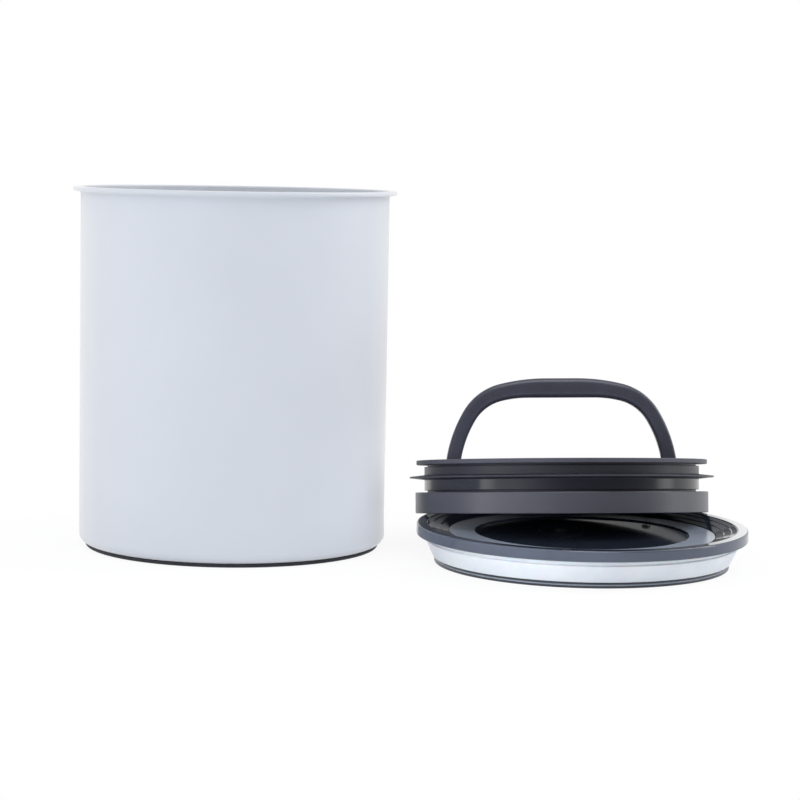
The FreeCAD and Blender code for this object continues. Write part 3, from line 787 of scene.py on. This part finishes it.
def arch(half_span, top, shares):
    """Points (x, z) of half an arch from its crown to the pivot: a straight middle, then a crown arc, a
    shoulder arc and a leg arc that meet in line. The last two radii solve the span and the height."""
    half_flat, crown = np.array(shares) * half_span
    sideways, down = np.diff(np.sin(arch_turns)), -np.diff(np.cos(arch_turns))
    left_over = np.array([half_span - half_flat - crown * sideways[0],
                          top - pivot_height - crown * down[0]])
    shoulder, leg = np.linalg.solve(np.array([sideways[1:], down[1:]]), left_over)
    flat_points, *arc_points = arch_points
    runs = [np.column_stack([np.linspace(0, half_flat, flat_points), np.full(flat_points, top)])]
    for radius, start, end, count in zip((crown, shoulder, leg), arch_turns, arch_turns[1:], arc_points):
        turn = np.linspace(start, end, count + 1)[1:]
        step = np.column_stack([np.sin(turn) - math.sin(start), np.cos(turn) - math.cos(start)])
        runs.append(runs[-1][-1] + radius * step)
    return np.concatenate(runs)


def handle():
    """Superellipses of the fourth power carried along the arch, each spanning from the inner to the
    outer edge. Below the pivot they shrink in depth as a cosine, which rounds the feet about the shaft,
    and draw in a little at their sides."""
    outer = arch(handle_half_span, handle_top, outer_edge_shares)
    inner = arch(leg_inside, handle_top - handle_bar, inner_edge_shares)
    depth = np.ones(len(outer))
    foot = np.radians(np.linspace(0, 90, foot_points + 1))[1:]
    drop = np.column_stack([np.zeros(foot_points), handle_depth / 2 * np.sin(foot)])
    draw = np.column_stack([foot_draw * (1 - np.cos(foot)), np.zeros(foot_points)])
    outer = np.concatenate([outer, outer[-1] - drop - draw])
    inner = np.concatenate([inner, inner[-1] - drop + draw])
    depth = np.append(depth, np.cos(foot))
    mirror = np.array([-1.0, 1.0])
    outer = np.concatenate([outer[:0:-1] * mirror, outer])
    inner = np.concatenate([inner[:0:-1] * mirror, inner])
    depth = np.concatenate([depth[:0:-1], depth])
    middle = (outer + inner) / 2
    width = np.linalg.norm(outer - inner, axis=1)
    outward = (outer - inner) / width[:, None]
    angle = 2 * math.pi * np.arange(section_points) / section_points
    wide, deep = (np.sign(wave) * np.sqrt(np.abs(wave)) for wave in (np.cos(angle), np.sin(angle)))
    a = width[:, None] / 2 * wide
    b = handle_depth / 2 * depth[:, None] * deep
    x = middle[:, :1] + outward[:, :1] * a
    z = middle[:, 1:] + outward[:, 1:] * a
    build("handle_bar", [lattice(np.stack([x, b, z], axis=-1), False, True)], inner_place,
          [handle_nylon], "handle", "handle")


def rod(radius, low, high, chamfer):
    """Round rod along the first axis with chamfered ends, as a turned profile laid on its side."""
    profile = outline([
        (0, low), (radius - chamfer, low), (radius, low + chamfer),
        (radius, high - chamfer), (radius - chamfer, high), (0, high)], closed=False, margin=0.1)
    surface = turned(profile, False, rod_sides)
    surface["points"] = surface["points"][:, [2, 0, 1]]
    return surface


def cross_shaft():
    """Rod through both legs of the handle, at the height of the pivot and a little proud of them."""
    reach = handle_half_span + shaft_proud
    shaft = rod(shaft_radius, -reach, reach, shaft_proud)
    shaft["points"] = shaft["points"] + (0, 0, pivot_height)
    build("shaft", [shaft], inner_place, [drawn_steel], "handle", "cross_shaft")


def shaft_caps():
    """Saddle over the shaft on each ear: a flat foot, a round hump and a half-round bore."""
    half = ear_length / 2
    rise = math.degrees(math.asin(cap_thickness / cap_hump))
    section = np.concatenate([
        [(half, 0), (half, cap_thickness)], arc((0, 0), cap_hump, rise, 180 - rise, hump_points),
        [(-half, cap_thickness), (-half, 0)], arc((0, 0), shaft_bore, 180, 0, bore_points)])
    build("bearing_caps", bearings(section + (0, pivot_height)), inner_place,
          [valve_acetal], "inner_lid", "shaft_caps")


def screw(seat, upward_head, head, height, shank, length):
    """Pan-head screw as one turned profile from the crown to the tip. The crown sinks by a share of
    its height where either bar of the cross recess covers it, over a narrow soft edge."""
    crown = np.linspace(0, crown_share, crown_points)[:, None] * head
    dome = height * (1 - crown_fall * (crown / head) ** 2)
    top = np.column_stack([crown, dome])
    rest = outline([
        (crown_share * head, dome[-1, 0]),
        (head, brim_share * height, brim_rounding * height),
        (head, 0, seat_rounding * height),
        (shank, 0),
        (shank, tip_length * shank - length),
        (tip_share * shank, -length),
        (0, -length)], closed=False, margin=0.08)
    surface = turned(np.concatenate([top, rest[1:]]), False, screw_sides)
    points = surface["points"]
    x, y, z = np.abs(points[:, 0]), np.abs(points[:, 1]), points[:, 2]
    bar = np.clip((recess_width / 2 - np.minimum(x, y)) / recess_softness + 0.5, 0, 1)
    reach = np.clip((head * recess_share - np.maximum(x, y)) / recess_softness + 0.5, 0, 1)
    sunk = np.where(z > height / 2, bar * reach * height * recess_share, 0.0)
    points[:, 2] = (z - sunk) * upward_head
    surface["points"] = points + seat
    return surface


def screws():
    """A circle of screws under the plate, two beside the shaft in each cap, and two in the feet of the
    vent cap."""
    angle = math.pi * (2 * np.arange(base_screw_count) + 1) / base_screw_count
    seats = np.stack([base_screw_circle * np.cos(angle), base_screw_circle * np.sin(angle),
                      np.full(base_screw_count, underside)], axis=1)
    build("base_screw_set", [screw(seat, -1, **base_screw) for seat in seats], inner_place,
          [drawn_steel], "inner_lid", "base_screws")
    seats = [(side * ear_middle, end * cap_screw_reach, pivot_height + cap_thickness)
             for side in (-1, 1) for end in (-1, 1)]
    build("cap_screw_set", [screw(seat, 1, **cap_screw) for seat in seats], inner_place,
          [drawn_steel], "inner_lid", "cap_screws")
    seats = [(0, end * cover_screw_reach, deck_top + cover_foot_thickness) for end in (-1, 1)]
    build("cover_screw_set", [screw(seat, 1, **cover_screw) for seat in seats], inner_place,
          [drawn_steel], "inner_lid", "cover_screws")


def valve_spring():
    """Round wire along a helix; the first and last rings close to a point."""
    steps = spring_steps * spring_turns + 1
    angle = 2 * math.pi * spring_turns * np.linspace(0, 1, steps)[:, None]
    rise = (spring_high - spring_low) / (2 * math.pi * spring_turns)
    ring = np.radians(np.arange(0, 360, wire_turn))
    radius = np.full((steps, 1), spring_wire / 2)
    radius[[0, -1]] = 0
    angle[0], angle[-1] = angle[1], angle[-2]
    out = spring_radius + radius * np.cos(ring)
    points = np.stack([out * np.cos(angle), out * np.sin(angle),
                       spring_low + rise * angle + radius * np.sin(ring)], axis=-1)
    build("coil_spring", [lattice(points, False, True)], inner_place,
          [drawn_steel], "inner_lid", "valve_spring")


def valve_plate():
    """Soft flat disc with rounded edges, round the stem."""
    profile = outline([
        (stem_radius, valve_plate_low),
        (valve_plate_radius, valve_plate_low, edge_rounding),
        (valve_plate_radius, valve_plate_top, edge_rounding),
        (stem_radius, valve_plate_top)])
    build("valve_plate", [turned(profile, True, valve_sides)], inner_place,
          [silicone_and_groove_shade], "valve", "valve_disc")


canister_body()
base_pad()
outer_lid_flange()
outer_lid_pane()
outer_lid_plug()
outer_lid_gasket()
inner_lid_housing()
inner_lid_base()
inner_lid_band()
wiper_seal()
handle()
cross_shaft()
shaft_caps()
screws()
valve_spring()
valve_plate()
smoothed("vent_cap", "valve_cover", valve_acetal, "inner_lid")
smoothed("cam", "valve_cam", valve_acetal, "handle")
smoothed("stem", "valve_stem", valve_acetal, "valve")
smoothed("stem_retainer", "valve_retainer", drawn_steel, "valve")
smoothed("cross_pin", "cam_pin", drawn_steel, "handle")
smoothed("leg_pins", "handle_pins", drawn_steel, "handle")


def studio():
    """White floor that keeps a faint shadow, a white world, two weak strip lamps beside the object and a
    small fill lamp. What mirrors the world sees a dim side behind the camera, dark flags behind the lids
    and bright panels: each is a soft round patch about its direction, and their strengths multiply."""
    scene = bpy.context.scene
    scene.view_settings.view_transform = "Standard"
    mesh = bpy.data.meshes.new("floor")
    corners = [(x * floor_half, y * floor_half, 0) for x, y in ((-1, -1), (1, -1), (1, 1), (-1, 1))]
    mesh.from_pydata(corners, [], [(0, 1, 2, 3)])
    floor = bpy.data.objects.new("floor", mesh)
    scene.collection.objects.link(floor)
    paper, tree, output = blank("white_paper")
    path = add(tree, "ShaderNodeLightPath").outputs
    seen = add(tree, "ShaderNodeMath", {0: path["Is Camera Ray"], 1: path["Is Transmission Ray"]},
               operation="MAXIMUM")
    seen = add(tree, "ShaderNodeMath", {0: seen.outputs[0], 1: path["Is Glossy Ray"]},
               operation="MAXIMUM")
    spot = add(tree, "ShaderNodeTexCoord").outputs["Object"]
    away = add(tree, "ShaderNodeVectorMath", {0: spot, 1: floor_middle}, operation="DISTANCE")
    fade = add(tree, "ShaderNodeMapRange", {"Value": away.outputs["Value"], "From Min": shadow_reach[0],
                                            "From Max": shadow_reach[1], "To Min": shadow_glow[0],
                                            "To Max": shadow_glow[1]})
    share = add(tree, "ShaderNodeMath", {0: seen.outputs[0], 1: fade.outputs[0]}, operation="MULTIPLY")
    matte = add(tree, "ShaderNodeBsdfDiffuse", {"Color": linear(floor_colour)})
    glow = add(tree, "ShaderNodeEmission", {"Color": white, "Strength": 1.0})
    mixed = add(tree, "ShaderNodeMixShader", {0: share.outputs[0], 1: matte.outputs[0],
                                              2: glow.outputs[0]})
    tree.links.new(mixed.outputs[0], output.inputs[0])
    mesh.materials.append(paper)

    world = bpy.data.worlds.new("studio")
    scene.world = world
    world.use_nodes = True
    tree = world.node_tree
    tree.nodes.clear()
    path = add(tree, "ShaderNodeLightPath").outputs
    way = add(tree, "ShaderNodeTexCoord").outputs["Generated"]
    flat = add(tree, "ShaderNodeVectorMath", {0: way, 1: world_flattening}, operation="MULTIPLY")
    course = add(tree, "ShaderNodeVectorMath", {0: flat.outputs[0]}, operation="NORMALIZE").outputs[0]
    mirrored = 1.0
    for towards, begin, full, gain in panels:
        near = add(tree, "ShaderNodeVectorMath", {0: course, 1: towards}, operation="DOT_PRODUCT")
        panel = add(tree, "ShaderNodeMapRange", {"Value": near.outputs["Value"], "From Min": begin,
                                                 "From Max": full, "To Min": 1.0, "To Max": gain},
                    interpolation_type="SMOOTHSTEP")
        mirrored = add(tree, "ShaderNodeMath", {0: mirrored, 1: panel.outputs[0]},
                       operation="MULTIPLY").outputs[0]
    level = add(tree, "ShaderNodeMix", {0: path["Is Glossy Ray"], 2: 1.0, 3: mirrored})
    seen = add(tree, "ShaderNodeMath", {0: path["Is Camera Ray"], 1: path["Is Transmission Ray"]},
               operation="MAXIMUM")
    strength = add(tree, "ShaderNodeMix", {0: seen.outputs[0], 2: level.outputs[0], 3: 1.0})
    sky = add(tree, "ShaderNodeBackground", {"Color": white, "Strength": strength.outputs[0]})
    add(tree, "ShaderNodeOutputWorld", {"Surface": sky.outputs[0]})

    for name, (place, target, size, watts, spread, shown) in lamps.items():
        lamp = bpy.data.lights.new(name, "AREA")
        lamp.shape = "RECTANGLE"
        lamp.size, lamp.size_y = size
        lamp.energy = watts
        lamp.spread = math.radians(spread)
        holder = bpy.data.objects.new(name, lamp)
        holder.visible_glossy = shown
        aim = (Vector(target) - Vector(place)).to_track_quat("-Z", "Y")
        holder.matrix_world = Matrix.Translation(place) @ aim.to_matrix().to_4x4()
        scene.collection.objects.link(holder)


def camera():
    """A long lens in front, a little above, tipped down and slightly turned about its own axis."""
    tip, roll = math.radians(camera_tip), math.radians(camera_roll)
    ahead = np.array([0, math.cos(tip), -math.sin(tip)])
    level = np.array([1.0, 0, 0])
    upright_top = np.cross(level, ahead)
    right = math.cos(roll) * level + math.sin(roll) * upright_top
    top = math.cos(roll) * upright_top - math.sin(roll) * level
    data = bpy.data.cameras.new("camera")
    data.sensor_width = sensor_width
    data.lens = sensor_width * focal_pixels / image_pixels
    data.clip_end = camera_range
    eye = bpy.data.objects.new("camera", data)
    matrix = np.eye(4)
    matrix[:3] = np.column_stack([right, top, -ahead, np.array(camera_place) * MM])
    eye.matrix_world = Matrix(matrix.tolist())
    bpy.context.scene.collection.objects.link(eye)
    bpy.context.scene.camera = eye


studio()
camera()
